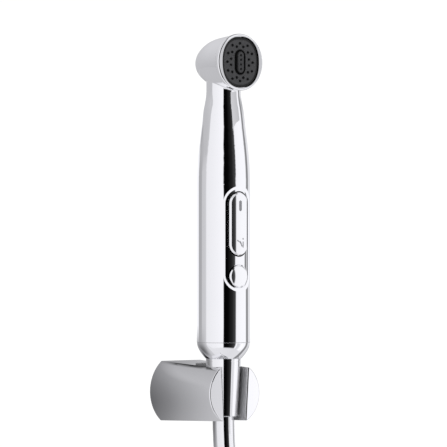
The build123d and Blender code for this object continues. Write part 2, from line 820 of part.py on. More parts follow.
def check_spring():
    """Spring that closes the poppet."""
    low = cartridge_low + seat_thick + slip + poppet_thick
    high = cartridge_low + cartridge_length - spider_thick
    return upright(Pos(0, 0, low) * coil_spring(check_spring_r, check_wire_r, check_turns, high - low))


def inlet_strainer():
    """Fine disc of holes in the nipple's mouth."""
    piece = disc(cartridge_r, nipple_end, nipple_end + strainer_thick)
    for place in HexLocations(strainer_pitch / 2, strainer_rows, strainer_rows):
        if place.position.length < cartridge_r - strainer_rim:
            piece -= place * disc(strainer_hole_r, nipple_end - past, nipple_end + strainer_thick + past)
    return upright(piece)


def flat_washer(low):
    """Flat rubber washer about Z, from its lower face."""
    return disc(flange_r, low, low + washer_thick) - disc(washer_bore_r, low, low + washer_thick)


def hose_washer():
    """Flat rubber washer between the hose tail and the nipple."""
    return upright(flat_washer(flange_top))


def hose_tail():
    """Flanged brass tail crimped on the hose's upper end."""
    return upright(turned([
        (tail_bore_r, hose_start), (ferrule_r, hose_start), (ferrule_r, flange_low),
        (flange_r, flange_low), (flange_r, flange_top), (tail_bore_r, flange_top),
    ]))


def hose_nut():
    """Slim conical nut, turned, with a fine groove under its upper end."""
    groove = nut_top - nut_groove_down
    low_groove = groove - nut_groove_w
    mouth_r = hose_r + gap
    edge, top_edge = nut_low_edge, nut_top_edge
    piece = turned([
        (mouth_r, nut_low), (nut_r(nut_low) - edge, nut_low), (nut_r(nut_low + edge), nut_low + edge),
        (nut_r(low_groove), low_groove), (nut_r(low_groove) - nut_groove_deep, low_groove),
        (nut_r(groove) - nut_groove_deep, groove), (nut_r(groove), groove),
        (nut_r(nut_top - top_edge), nut_top - top_edge), (nut_r(nut_top) - top_edge, nut_top),
        (thread_r + slip, nut_top), (thread_r + slip, nipple_end), (flange_r + slip, nipple_end),
        (flange_r + slip, flange_low), (ferrule_r + gap / 2, flange_low),
        (ferrule_r + gap / 2, nut_low + nut_lip), (mouth_r, nut_low + nut_lip),
    ])
    return upright(piece)


def route():
    """Points of the hose from its tail to the coil, in the plane of the coil."""
    points, x, z, turn = [], 0.0, hose_start, 0.0
    points.append((x, z))
    for _ in range(3):
        x += run * math.sin(math.radians(turn))
        z -= run * math.cos(math.radians(turn))
        points.append((x, z))
        turn += entry_turn / 2
    return points


def coil_middle():
    """Centre of the coil: the route's last run is a tangent of its middle circle."""
    x, z = route()[-1]
    a = math.radians(entry_turn)
    return x - coil_r * math.cos(a), z - coil_r * math.sin(a)


def hose_tube():
    """The hose from the nut to the coil: straight runs joined by tangent arcs."""
    points = [(x, wand_y, z) for x, z in route()]
    radius = 0.45 * run / math.tan(math.radians(entry_turn / 4))
    path = FilletPolyline(*points, radius=[radius, radius])
    tube = sweep(Plane(path @ 0, z_dir=path % 0) * Circle(hose_r), path)
    section = math.pi * hose_r ** 2
    print(f"hose arcs {radius:.1f} mm; tube {path.length:.2f} mm, volume / (section x length) "
          f"{tube.volume / section / path.length:.5f}")
    return tube, path.length


def coil_end_y():
    """Depth of the last turn where it leaves the coil."""
    return wand_y - coil_pitch * (coil_turns + entry_turn / 360)


def coil_band(front, back, first, last):
    """A stretch of bevelled ring between two depths, from one angle to another, clockwise."""
    inner, outer, b = coil_r - hose_r, coil_r + hose_r, coil_bevel
    corners = [
        (inner + b, front), (outer - b, front), (outer, front + b), (outer, back - b),
        (outer - b, back), (inner + b, back), (inner, back - b), (inner, front + b),
    ]
    face = make_face(Polyline(*[(r, y, 0) for r, y in corners], close=True))
    band = revolve(face, Axis.Y, min(first - last, 360.0))
    x, z = coil_middle()
    return Pos(x, 0, z) * Rot(0, -first, 0) * band


def hose_coil():
    """Outer shape of the coil: turns side by side, stepping forward once a turn."""
    second = wand_y - coil_pitch
    inner = wand_y - coil_pitch * max(coil_turns - 1, 1)
    first = coil_band(second - hose_r, wand_y + hose_r, entry_turn, entry_turn - first_band)
    middle = coil_band(inner - hose_r, second + hose_r, 360, 0)
    last = coil_band(coil_end_y() - hose_r, inner + hose_r, entry_turn - last_band_start, -360)
    return first + middle + last


def hose_end_place():
    """Where the hose ends, as a point."""
    x, z = coil_middle()
    return x + coil_r, coil_end_y(), z - end_run


def hanging(solid):
    """Places a piece made along +Z under the hose's end, pointing down."""
    return Pos(*hose_end_place()) * Rot(180, 0, 0) * solid


def hose_end():
    """The last straight stretch of hose, from the coil to its far fitting."""
    return hanging(disc(hose_r, -end_run, 0))


def coil_tie():
    """Strap round the turns at the coil's left side."""
    x, z = coil_middle()
    back = wand_y - coil_pitch + hose_r + gap
    front = coil_end_y() - hose_r - gap
    left, right = x - coil_r - hose_r - gap, x - coil_r + hose_r + 1.5 * gap
    low, high = z - tie_w / 2, z + tie_w / 2
    t = tie_thick
    strap = block(left - t, right + t, front - t, back + t, low, high)
    return strap - block(left, right, front, back, low - past, high + past)


def end_tail():
    """Flanged brass tail crimped on the hose's far end."""
    top = end_ferrule + flange_thick
    return hanging(turned([
        (tail_bore_r, 0), (ferrule_r, 0), (ferrule_r, end_ferrule),
        (flange_r, end_ferrule), (flange_r, top), (tail_bore_r, top),
    ]))


def end_washer():
    """Flat rubber washer on the far tail's flange."""
    return hanging(flat_washer(end_ferrule + flange_thick))


def end_nut():
    """Hexagon union nut that spins on the far tail, open at its lower end."""
    low = end_ferrule - end_nut_back
    high = low + end_nut_length
    seat = end_ferrule - gap
    corner_r = end_nut_flats / math.sqrt(3)
    hexagon = extrude(Pos(0, 0, low) * RegularPolygon(corner_r, 6), end_nut_length)
    rounded = turned([
        (0, low), (end_nut_flats / 2, low), (corner_r, low + end_nut_bevel),
        (corner_r, high - end_nut_bevel), (end_nut_flats / 2, high), (0, high),
    ])
    piece = hexagon & rounded
    piece -= disc(ferrule_r + gap, low - past, seat + past)
    piece -= disc(flange_r + gap, seat, high - end_thread)
    piece -= disc(thread_r + slip, high - end_thread, high + past)
    return hanging(piece)


def holder_block(inset, depth):
    """The holder's form, forward of the wall: a cone with a flat top and underside."""
    cone = Cone(
        holder_wall_r - inset, holder_front_r - inset, holder_depth,
        align=(Align.CENTER, Align.CENTER, Align.MIN),
    )
    side = make_face(Polyline(
        (0, -holder_low_back + inset, 0),
        (0, holder_top_back - inset, 0),
        (0, holder_top_front - inset, holder_depth),
        (0, -holder_low_front + inset, holder_depth),
        close=True,
    ))
    form = cone & extrude(side, holder_wall_r * 2, dir=(1, 0, 0), both=True)
    return form & disc(holder_wall_r * 2, 0, depth)


def holder_shell():
    """Moulded holder: rounded cone form, conical bore for the nut, slot to the front, hollow back."""
    form = Rot(90, 0, 0) * holder_block(0, holder_depth)
    reach = holder_wall_r
    bore_low, bore_high = nut_r(-reach) + seat_gap, nut_r(reach) + seat_gap
    form -= Pos(0, wand_y, 0) * Cone(bore_low, bore_high, 2 * reach)
    slot = Polyline(
        (-bore_low + slot_lip, 0, -reach), (bore_low - slot_lip, 0, -reach),
        (bore_high - slot_lip, 0, reach), (-bore_high + slot_lip, 0, reach), close=True,
    )
    form -= Pos(0, wand_y, 0) * extrude(make_face(slot), holder_depth, dir=(0, -1, 0))
    front = [e for e in form.edges() if e.center().Y < gap - holder_depth]
    corners = [e for e in front if e.geom_type == GeomType.LINE and e.length > holder_top_front]
    form = fillet(corners, slot_edge_r)
    long_edges = [e for e in form.edges() if e.center().Y < -gap and e.length > holder_top_front]
    rim = [e for e in long_edges if e.geom_type in (GeomType.HYPERBOLA, GeomType.CIRCLE)]
    form = fillet(rim, holder_edge_r)
    form -= Rot(90, 0, 0) * holder_block(holder_wall, holder_cavity)
    form -= Pos(0, -plate_thick / 2, -holder_low_back) * Cylinder(grub_r + slip, 4 * holder_wall)
    return form


def wall_plate():
    """Plate screwed to the wall, with two countersunk holes; the shell slides over it."""
    plate = holder_block(holder_wall + gap, plate_thick)
    for side in (-1, 1):
        plate -= Pos(side * screw_spacing / 2, 0, 0) * disc(screw_hole_r, -past, plate_thick + past)
        plate -= Pos(side * screw_spacing / 2, 0, plate_thick - screw_head_r + screw_hole_r) * Cone(
            screw_hole_r, screw_head_r + slip, screw_head_r - screw_hole_r + slip,
            align=(Align.CENTER, Align.CENTER, Align.MIN),
        )
    plate = Rot(90, 0, 0) * plate
    top = -holder_low_back + grub_length + grub_sunk
    return plate - Pos(0, -plate_thick / 2, 0) * disc(grub_r, -holder_wall_r, top)


def grub_screw():
    """Socket screw from below that locks the shell on its plate."""
    low = -holder_low_back + grub_sunk
    screw = disc(grub_r - grub_fit, low, low + grub_length)
    key = Pos(0, 0, low - slip) * RegularPolygon(grub_key / math.sqrt(3), 6)
    screw -= extrude(key, grub_key_deep + slip)
    return Pos(0, -plate_thick / 2, 0) * screw


hose, hose_run = hose_tube()
one_turn = 2 * math.pi * coil_r
coil_turns = int((hose_length - hose_run - end_room) / one_turn - entry_turn / 360)
end_run = hose_length - hose_run - one_turn * (coil_turns + entry_turn / 360)

pieces = {
    "body_shell": body_shell(),
    "head_bezel": head_bezel(),
    "spray_face": spray_face(),
    "nozzle_mat": nozzle_mat(),
    "jet_insert": jet_insert(),
    "distributor": distributor(),
    "head_seal": head_seal(),
    "spray_tube": water_tube(-1),
    "jet_tube": water_tube(1),
    "valve_body": valve_body(),
    "diverter_spool": diverter_spool(),
    "spool_seals": spool_seals(),
    "rocker_frame": rocker_frame(),
    "rocker_pin": rocker_pin(),
    "rocker": rocker(),
    "push_button": push_button(),
    "button_spring": button_spring(),
    "stop_plunger": stop_plunger(),
    "plunger_seals": plunger_seals(),
    "end_collar": end_collar(),
    "collar_seal": collar_seal(),
    "inlet_nipple": inlet_nipple(),
    "inlet_seal": inlet_seal(),
    "check_valve_body": check_valve_body(),
    "check_poppet": check_poppet(),
    "check_spring": check_spring(),
    "inlet_strainer": inlet_strainer(),
    "hose_washer": hose_washer(),
    "hose_tail": hose_tail(),
    "hose_nut": hose_nut(),
    "hose_tube": hose,
    "hose_coil": hose_coil(),
    "hose_end": hose_end(),
    "coil_tie": coil_tie(),
    "end_tail": end_tail(),
    "end_washer": end_washer(),
    "end_nut": end_nut(),
    "holder_shell": holder_shell(),
    "wall_plate": wall_plate(),
    "grub_screw": grub_screw(),
}

os.makedirs("parts", exist_ok=True)
for name, piece in pieces.items():
    export_step(piece, f"parts/{name}.step")
print("coil middle", coil_middle(), "hose end", hose_end_place(), "end run", end_run)
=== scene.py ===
import math

import bpy
import numpy as np
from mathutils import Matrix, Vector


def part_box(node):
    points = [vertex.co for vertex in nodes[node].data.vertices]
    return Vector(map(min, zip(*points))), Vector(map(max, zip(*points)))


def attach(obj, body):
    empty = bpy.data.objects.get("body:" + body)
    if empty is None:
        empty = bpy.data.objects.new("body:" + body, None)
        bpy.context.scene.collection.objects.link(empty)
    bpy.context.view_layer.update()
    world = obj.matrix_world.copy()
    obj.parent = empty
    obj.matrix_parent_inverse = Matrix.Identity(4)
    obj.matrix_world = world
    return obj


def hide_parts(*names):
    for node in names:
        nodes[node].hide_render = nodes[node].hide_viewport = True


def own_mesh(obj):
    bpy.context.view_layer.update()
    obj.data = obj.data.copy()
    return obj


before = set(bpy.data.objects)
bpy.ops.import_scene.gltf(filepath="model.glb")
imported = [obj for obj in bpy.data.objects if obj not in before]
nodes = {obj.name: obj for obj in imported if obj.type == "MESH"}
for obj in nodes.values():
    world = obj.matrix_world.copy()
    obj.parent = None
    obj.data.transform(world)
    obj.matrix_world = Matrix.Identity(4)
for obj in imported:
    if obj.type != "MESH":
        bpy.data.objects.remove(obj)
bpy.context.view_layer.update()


# Chromed body of the handset
# One moulding of hard plastic, plated with copper, nickel and a thin blue-white layer of chrome.
# It is polished, so it shows its room in long clean bands, with only a breath of haze from handling.
def feed(tree, target, socket, value):
    """Fills an input with a value, or links it to an output given as a (node, output) pair or a socket."""
    if isinstance(value, tuple) and isinstance(value[0], bpy.types.Node):
        value = value[0].outputs[value[1]]
    if isinstance(value, bpy.types.NodeSocket):
        tree.links.new(value, target.inputs[socket])
    else:
        target.inputs[socket].default_value = value


def reckon(tree, operation, *values):
    """The result of one Math node on these values, as a (node, output) pair."""
    made = tree.nodes.new("ShaderNodeMath")
    made.operation = operation
    for number, value in enumerate(values):
        feed(tree, made, number, value)
    return made, 0


def mixed(tree, kind, share, first, second):
    """First where the share is 0 and second where it is 1, for colours (RGBA) or numbers (FLOAT)."""
    made = tree.nodes.new("ShaderNodeMix")
    made.data_type = kind
    first_socket, second_socket, result = {"RGBA": (6, 7, 2), "FLOAT": (2, 3, 0)}[kind]
    feed(tree, made, 0, share)
    feed(tree, made, first_socket, first)
    feed(tree, made, second_socket, second)
    return made, result


def shader_group(name, inputs, outputs):
    """An empty group of shader nodes with named inputs (name, kind, value) and outputs (name, kind)."""
    group = bpy.data.node_groups.new(name, "ShaderNodeTree")
    for label, kind, value in inputs:
        socket = group.interface.new_socket(label, in_out="INPUT", socket_type=f"NodeSocket{kind}")
        socket.default_value = value
    for label, kind in outputs:
        group.interface.new_socket(label, in_out="OUTPUT", socket_type=f"NodeSocket{kind}")
    return group, group.nodes.new("NodeGroupInput"), group.nodes.new("NodeGroupOutput")


def clouded(group, given, out, cloud):
    """Roughness = base + spread x cloud; the colour moves between the two tones by the same cloud."""
    feed(group, out, "Roughness", reckon(group, "MULTIPLY_ADD", cloud, (given, "Spread"), (given, "Base")))
    feed(group, out, "Color", mixed(group, "RGBA", cloud, (given, "Tone"), (given, "Other tone")))


def plating_group():
    """Plated metal: one cloudy noise gives the haze, the colour's drift and the height."""
    group, given, out = shader_group(
        "plating",
        [("Tone", "Color", (0.9, 0.9, 0.9, 1)), ("Other tone", "Color", (0.8, 0.8, 0.8, 1)),
         ("Base", "Float", 0.03), ("Spread", "Float", 0.02), ("Scale", "Float", 60.0)],
        [("Color", "Color"), ("Roughness", "Float"), ("Height", "Float")],
    )
    place = group.nodes.new("ShaderNodeTexCoord")
    noise = group.nodes.new("ShaderNodeTexNoise")
    feed(group, noise, "Detail", 3.0)
    feed(group, noise, "Vector", (place, "Object"))
    feed(group, noise, "Scale", (given, "Scale"))
    clouded(group, given, out, (noise, "Fac"))
    feed(group, out, "Height", (noise, "Fac"))
    return group


def finish_with(name, group, values, metallic=1.0, bump=0.0, shine=0.5):
    """A Principled material whose colour, roughness and height come from a group with its own values."""
    bump_reach = 0.0002
    made = bpy.data.materials.new(name)
    made.use_nodes = True
    tree = made.node_tree
    shader = tree.nodes["Principled BSDF"]
    feed(tree, shader, "Metallic", metallic)
    feed(tree, shader, "Specular IOR Level", shine)
    source = tree.nodes.new("ShaderNodeGroup")
    source.node_tree = group
    for label, value in values.items():
        feed(tree, source, label, value)
    feed(tree, shader, "Base Color", (source, "Color"))
    feed(tree, shader, "Roughness", (source, "Roughness"))
    if bump:
        raised = tree.nodes.new("ShaderNodeBump")
        feed(tree, raised, "Strength", bump)
        feed(tree, raised, "Distance", bump_reach)
        feed(tree, raised, "Height", (source, "Height"))
        feed(tree, shader, "Normal", (raised, "Normal"))
    return made


def mask_group(name, rule):
    """A group whose Mask is what the rule makes of the piece's own coordinates."""
    group, _, out = shader_group(name, [], [("Mask", "Float")])
    source = group.nodes.new("ShaderNodeTexCoord")
    place = group.nodes.new("ShaderNodeSeparateXYZ")
    feed(group, place, 0, (source, "Object"))
    feed(group, out, "Mask", rule(group, place))
    return group


def darkened(material, mask, tone, roughness):
    """Where the mask group gives 1, the material takes another grey and another roughness."""
    blue_share = 1.01
    tree = material.node_tree
    shader = tree.nodes["Principled BSDF"]
    where = tree.nodes.new("ShaderNodeGroup")
    where.node_tree = mask
    for socket, kind, value in (("Base Color", "RGBA", (tone, tone, tone * blue_share, 1)),
                                ("Roughness", "FLOAT", roughness)):
        before = shader.inputs[socket].links[0].from_socket
        feed(tree, shader, socket, mixed(tree, kind, (where, "Mask"), before, value))


def wears(node, material):
    """Gives a carried-over node its finish in every material slot it has."""
    piece = nodes[node]
    for place in piece.material_slots:
        place.material = material
    if not piece.material_slots:
        piece.data.materials.append(material)


# Places worked out from the frame or the hose's route are rounded to a hundredth of a millimetre.
place_digits = 5
parting_z = round(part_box("body_shell")[0][2], place_digits)
parting_half = 0.00016


def parting_line(tree, place):
    """1 within half a line's width of the height where shell and collar meet."""
    off = reckon(tree, "ABSOLUTE", reckon(tree, "SUBTRACT", (place, "Z"), parting_z))
    return reckon(tree, "LESS_THAN", off, parting_half)


plating = plating_group()
body_chrome = finish_with("body chrome", plating, {
    "Tone": (0.93, 0.93, 0.945, 1), "Other tone": (0.955, 0.955, 0.965, 1),
    "Base": 0.015, "Spread": 0.02, "Scale": 35.0})
darkened(body_chrome, mask_group("parting line", parting_line), tone=0.62, roughness=0.5)
wears("body_shell", body_chrome)
wears("end_collar", body_chrome)

# Trim that is plated and polished by itself
# Bezel, rocker and button are small zinc castings, polished more tightly than the big shell.
trim_chrome = finish_with("trim chrome", plating, {
    "Tone": (0.92, 0.92, 0.93, 1), "Other tone": (0.95, 0.95, 0.96, 1),
    "Base": 0.02, "Spread": 0.02, "Scale": 90.0})
for trim in ("head_bezel", "rocker", "push_button"):
    wears(trim, trim_chrome)

# Marks on the rocker
# Two small grey signs printed on its face: a bar for the single jet and a fan of strokes for the spray.
# They lie on the rocker's round face, which has the wand's own axis.
nut_low, nut_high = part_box("hose_nut")
wand_y = round((nut_low[1] + nut_high[1]) / 2, place_digits)
rocker_r = 0.0175
mark_proud = 0.00002
mark_corners = 32
mark_rings = 3
bar_z, bar_half, bar_half_w = 0.1189, 0.0034, 0.0011
fan_x, fan_z = 0.0022, 0.0980
dot_r, stroke_out, stroke_half, stroke_half_w = 0.00055, 0.0036, 0.0020, 0.00042
stroke_leans = (-58.0, -29.0, 0.0)
marks = [(0.0, bar_z, bar_half, bar_half_w, 0.0), (fan_x, fan_z, dot_r, dot_r, 0.0)]
for lean in stroke_leans:
    swing = math.radians(lean)
    marks.append((fan_x + stroke_out * math.sin(swing), fan_z - stroke_out * math.cos(swing),
                  stroke_half, stroke_half_w, -lean))


def bar_outline(half_length, half_width, lean):
    """Outline of a round-ended bar: a circle's points, moved up or down by the straight part's half."""
    turn = np.linspace(0, 2 * np.pi, mark_corners, endpoint=False)
    end = np.where(np.sin(turn) < 0, -1, 1)
    across = half_width * np.cos(turn)
    along = half_width * np.sin(turn) + end * (half_length - half_width)
    sine, cosine = math.sin(math.radians(lean)), math.cos(math.radians(lean))
    return across * cosine - along * sine, across * sine + along * cosine


def printed_bar(middle_x, middle_z, half_length, half_width, lean):
    """A thin closed plate: rings shrink to its middle above and below, wrapped on the rocker's cylinder."""
    across, along = bar_outline(half_length, half_width, lean)
    shares = np.concatenate([np.arange(1, mark_rings + 1), np.arange(mark_rings, 0, -1)]) / mark_rings
    rises = np.repeat([mark_proud, -mark_proud], mark_rings)
    wide = np.concatenate([[0.0], (shares[:, None] * across).ravel(), [0.0]]) + middle_x
    tall = np.concatenate([[0.0], (shares[:, None] * along).ravel(), [0.0]]) + middle_z
    radius = rocker_r + np.concatenate([[mark_proud], np.repeat(rises, mark_corners), [-mark_proud]])
    turn = wide / rocker_r
    corners = np.stack([radius * np.sin(turn), wand_y - radius * np.cos(turn), tall], axis=1)
    near = np.arange(mark_corners)
    after = np.roll(near, -1)
    faces = [(0, 1 + a, 1 + b) for a, b in zip(near, after)]
    for ring in range(2 * mark_rings - 1):
        low, high = 1 + ring * mark_corners, 1 + (ring + 1) * mark_corners
        faces += [(low + a, high + a, high + b, low + b) for a, b in zip(near, after)]
    last = 1 + (2 * mark_rings - 1) * mark_corners
    faces += [(last + a, len(corners) - 1, last + b) for a, b in zip(near, after)]
    return corners, faces


mark_places, mark_faces = [], []
for mark in marks:
    corners, faces = printed_bar(*mark)
    start = len(mark_places)
    mark_places += corners.tolist()
    mark_faces += [tuple(int(corner) + start for corner in face) for face in faces]
mark_mesh = bpy.data.meshes.new("rocker_marks")
mark_mesh.from_pydata(mark_places, [], mark_faces)
mark_mesh.update()
rocker_marks = bpy.data.objects.new("rocker_marks", mark_mesh)
bpy.context.scene.collection.objects.link(rocker_marks)
mark_ink = finish_with("grey ink", plating, {
    "Tone": (0.36, 0.36, 0.38, 1), "Other tone": (0.42, 0.42, 0.44, 1),
    "Base": 0.45, "Spread": 0.2, "Scale": 900.0}, metallic=0.0)
mark_mesh.materials.append(mark_ink)
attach(rocker_marks, "rocker")


# Spray face with its rubber nozzles
# Dark grey moulded plate; soft rubber nipples stand through it, and a raised insert holds four jets.
# Near-black shade is painted round the plate's rim and slot, and on the insert's bevel and walls, where bezel
# and plate shade them.
def moulded_group():
    """Moulded plastic: a fine grain raises the height, a wide noise moves colour and roughness a little."""
    group, given, out = shader_group(
        "moulded",
        [("Tone", "Color", (0.1, 0.1, 0.1, 1)), ("Other tone", "Color", (0.12, 0.12, 0.12, 1)),
         ("Base", "Float", 0.4), ("Spread", "Float", 0.1), ("Scale", "Float", 80.0),
         ("Grain", "Float", 4000.0)],
        [("Color", "Color"), ("Roughness", "Float"), ("Height", "Float")],
    )
    place = group.nodes.new("ShaderNodeTexCoord")
    wide = group.nodes.new("ShaderNodeTexNoise")
    feed(group, wide, "Vector", (place, "Object"))
    feed(group, wide, "Scale", (given, "Scale"))
    clouded(group, given, out, (wide, "Fac"))
    fine = group.nodes.new("ShaderNodeTexVoronoi")
    feed(group, fine, "Vector", (place, "Object"))
    feed(group, fine, "Scale", (given, "Grain"))
    feed(group, out, "Height", (fine, "Distance"))
    return group


moulded = moulded_group()
face_plastic = finish_with("face plastic", moulded, {
    "Tone": (0.062, 0.062, 0.064, 1), "Other tone": (0.072, 0.072, 0.074, 1),
    "Base": 0.42, "Spread": 0.12, "Scale": 120.0, "Grain": 3500.0}, metallic=0.0, bump=0.12)
nozzle_rubber = finish_with("nozzle rubber", moulded, {
    "Tone": (0.006, 0.006, 0.0065, 1), "Other tone": (0.010, 0.010, 0.011, 1),
    "Base": 0.5, "Spread": 0.15, "Scale": 300.0, "Grain": 6000.0}, metallic=0.0, bump=0.1, shine=0.08)
insert_plastic = finish_with("insert plastic", moulded, {
    "Tone": (0.045, 0.045, 0.047, 1), "Other tone": (0.055, 0.055, 0.057, 1),
    "Base": 0.42, "Spread": 0.12, "Scale": 120.0, "Grain": 3500.0}, metallic=0.0, bump=0.12)
face_low, face_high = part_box("spray_face")
head_z = round((face_low[2] + face_high[2]) / 2, place_digits)
face_half_w, face_half_h, face_power = 0.0147, 0.0162, 2.3
rim_start, rim_end = 0.865, 0.895
slot_r, slot_straight = 0.00415, 0.0037
slot_shade_start, slot_shade_end = 0.0006, 0.0002
insert_r, insert_straight = 0.0026, 0.00425
bevel_start, bevel_end = 0.0005, 0.0003


def fade_between(tree, value, start, end):
    """A share that goes evenly from 0 where the value is at start to 1 where it is at end."""
    fade = tree.nodes.new("ShaderNodeMapRange")
    feed(tree, fade, "From Min", start)
    feed(tree, fade, "From Max", end)
    feed(tree, fade, "Value", value)
    return fade, "Result"


def distance(tree, first, second):
    """Root of the sum of the squares of two measures that stand square to each other."""
    squares = reckon(tree, "ADD", reckon(tree, "MULTIPLY", first, first),
                     reckon(tree, "MULTIPLY", second, second))
    return reckon(tree, "SQRT", squares)


def from_head(tree, place):
    """Height above or below the head's middle."""
    return reckon(tree, "ABSOLUTE", reckon(tree, "SUBTRACT", (place, "Z"), head_z))


def from_upright(tree, place, half_length):
    """Distance from an upright line of this half-length through the head's middle."""
    past = reckon(tree, "MAXIMUM", reckon(tree, "SUBTRACT", from_head(tree, place), half_length), 0.0)
    return distance(tree, (place, "X"), past)


def painted_face_shade(tree, place):
    """1 where shade is painted: at the plate's rim, a squared oval (the root of the sum of two powers, across
    and upward), and round its slot, a capsule (the distance from an upright line)."""
    across = reckon(tree, "ABSOLUTE", reckon(tree, "DIVIDE", (place, "X"), face_half_w))
    upward = reckon(tree, "DIVIDE", from_head(tree, place), face_half_h)
    powers = reckon(tree, "ADD", reckon(tree, "POWER", across, face_power),
                    reckon(tree, "POWER", upward, face_power))
    rim = reckon(tree, "POWER", powers, 1 / face_power)
    slot = from_upright(tree, place, slot_straight)
    return reckon(tree, "MAXIMUM", fade_between(tree, rim, rim_start, rim_end),
                  fade_between(tree, slot, slot_r + slot_shade_start, slot_r + slot_shade_end))


def painted_insert_shade(tree, place):
    """1 where shade is painted: at the insert's bevel and down its walls, by the distance from an upright
    line.
    """
    out = from_upright(tree, place, insert_straight)
    return fade_between(tree, out, insert_r - bevel_start, insert_r - bevel_end)


# Painted shade: the plate goes near-black at its rim and round its slot.
darkened(face_plastic, mask_group("painted face shade", painted_face_shade), tone=0.008, roughness=0.6)
# Painted shade: the insert's bevel and walls go near-black.
darkened(insert_plastic, mask_group("painted insert shade", painted_insert_shade), tone=0.010, roughness=0.6)
wears("spray_face", face_plastic)
wears("jet_insert", insert_plastic)
wears("nozzle_mat", nozzle_rubber)

# Inner works
# White moulded blocks and tubes, brass turned parts, steel pins and springs, black seal rubber.
white_plastic = finish_with("white plastic", moulded, {
    "Tone": (0.78, 0.78, 0.76, 1), "Other tone": (0.84, 0.84, 0.82, 1),
    "Base": 0.38, "Spread": 0.1, "Scale": 60.0, "Grain": 2500.0}, metallic=0.0, bump=0.08)
tube_plastic = finish_with("tube plastic", moulded, {
    "Tone": (0.62, 0.66, 0.68, 1), "Other tone": (0.7, 0.73, 0.75, 1),
    "Base": 0.25, "Spread": 0.08, "Scale": 50.0, "Grain": 2000.0}, metallic=0.0, bump=0.05)
seal_rubber = finish_with("seal rubber", moulded, {
    "Tone": (0.014, 0.014, 0.014, 1), "Other tone": (0.024, 0.024, 0.024, 1),
    "Base": 0.55, "Spread": 0.15, "Scale": 200.0, "Grain": 5000.0}, metallic=0.0, bump=0.1)
brass = finish_with("turned brass", plating, {
    "Tone": (0.72, 0.52, 0.24, 1), "Other tone": (0.78, 0.6, 0.32, 1),
    "Base": 0.22, "Spread": 0.14, "Scale": 220.0}, bump=0.1)
steel = finish_with("spring steel", plating, {
    "Tone": (0.55, 0.56, 0.57, 1), "Other tone": (0.66, 0.66, 0.67, 1),
    "Base": 0.2, "Spread": 0.1, "Scale": 300.0}, bump=0.05)
for material, names in (
    (white_plastic, ("distributor", "valve_body", "rocker_frame", "check_valve_body", "check_poppet")),
    (tube_plastic, ("spray_tube", "jet_tube")),
    (seal_rubber, ("head_seal", "spool_seals", "plunger_seals", "collar_seal", "inlet_seal", "hose_washer",
                   "end_washer")),
    (brass, ("inlet_nipple", "hose_tail", "end_tail", "diverter_spool", "stop_plunger")),
    (steel, ("rocker_pin", "button_spring", "check_spring", "inlet_strainer", "grub_screw")),
):
    for name in names:
        wears(name, material)

# Springs
# Each is held at its far end and pressed by the piece that travels; here each only gets a mesh of its own.
for spring, joint, along in (("button_spring", "button_press", (0, 1, 0)),
                             ("check_spring", "check_lift", (0, 0, 1))):
    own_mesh(nodes[spring])

# Hose nut and union nut
# Both are turned from brass, plated and polished bright.
nut_chrome = finish_with("nut chrome", plating, {
    "Tone": (0.91, 0.91, 0.92, 1), "Other tone": (0.94, 0.94, 0.95, 1),
    "Base": 0.02, "Spread": 0.03, "Scale": 140.0})
wears("hose_nut", nut_chrome)
wears("end_nut", nut_chrome)

# Wall holder
# Hollow moulding, plated like the handset, slid over a grey plate that is screwed to the wall.
# Its bore is left satin for the nut to grip and painted a darker grey as shade, and near-black lines are
# painted on its slot's rounded edges as a reflection of the room's dark strip.
holder_chrome = finish_with("holder chrome", plating, {
    "Tone": (0.9, 0.9, 0.915, 1), "Other tone": (0.93, 0.93, 0.94, 1),
    "Base": 0.03, "Spread": 0.03, "Scale": 30.0})
plate_plastic = finish_with("plate plastic", moulded, {
    "Tone": (0.2, 0.2, 0.21, 1), "Other tone": (0.25, 0.25, 0.26, 1),
    "Base": 0.5, "Spread": 0.1, "Scale": 80.0, "Grain": 2500.0}, metallic=0.0, bump=0.1)
nut_low_r, nut_top_r = 0.0090, 0.0113
nut_slope = (nut_top_r - nut_low_r) / (nut_high[2] - nut_low[2])
seat_gap = 0.00025
slot_lip = 0.00055
slot_end_y = -0.0555
slot_edge_y = -0.0559
slot_edge_near, slot_edge_far = 0.00015, 0.00075


def nut_radius(tree, place, extra):
    """Radius of the conical nut, which grows evenly with height, plus an extra."""
    return reckon(tree, "MULTIPLY_ADD", reckon(tree, "SUBTRACT", (place, "Z"), nut_low[2]), nut_slope,
                  nut_low_r + extra)


def bore(tree, place):
    """1 up to twice the seat's gap from the nut, and between the walls of the slot in front of it."""
    behind = reckon(tree, "MAXIMUM", reckon(tree, "SUBTRACT", (place, "Y"), wand_y), 0.0)
    inside = reckon(tree, "LESS_THAN", distance(tree, (place, "X"), behind),
                    nut_radius(tree, place, 2 * seat_gap))
    return reckon(tree, "MULTIPLY", inside, reckon(tree, "GREATER_THAN", (place, "Y"), slot_end_y))


def slot_edge_reflection(tree, place):
    """1 where a dark reflection is painted: on the rounded front edges of the slot, by the distance outward
    from its sloping walls.
    """
    wall = nut_radius(tree, place, seat_gap - slot_lip)
    outward = reckon(tree, "SUBTRACT", reckon(tree, "ABSOLUTE", (place, "X")), wall)
    beside = reckon(tree, "MULTIPLY", reckon(tree, "GREATER_THAN", outward, slot_edge_near),
                    reckon(tree, "LESS_THAN", outward, slot_edge_far))
    return reckon(tree, "MULTIPLY", beside, reckon(tree, "LESS_THAN", (place, "Y"), slot_edge_y))


# Painted shade: the bore takes a darker grey than the rest of the holder's chrome.
darkened(holder_chrome, mask_group("bore", bore), tone=0.74, roughness=0.46)
# Painted reflection: near-black lines on the slot's rounded front edges, for the room's dark strip.
darkened(holder_chrome, mask_group("painted slot reflection", slot_edge_reflection), tone=0.06, roughness=0.2)
wears("holder_shell", holder_chrome)
wears("wall_plate", plate_plastic)

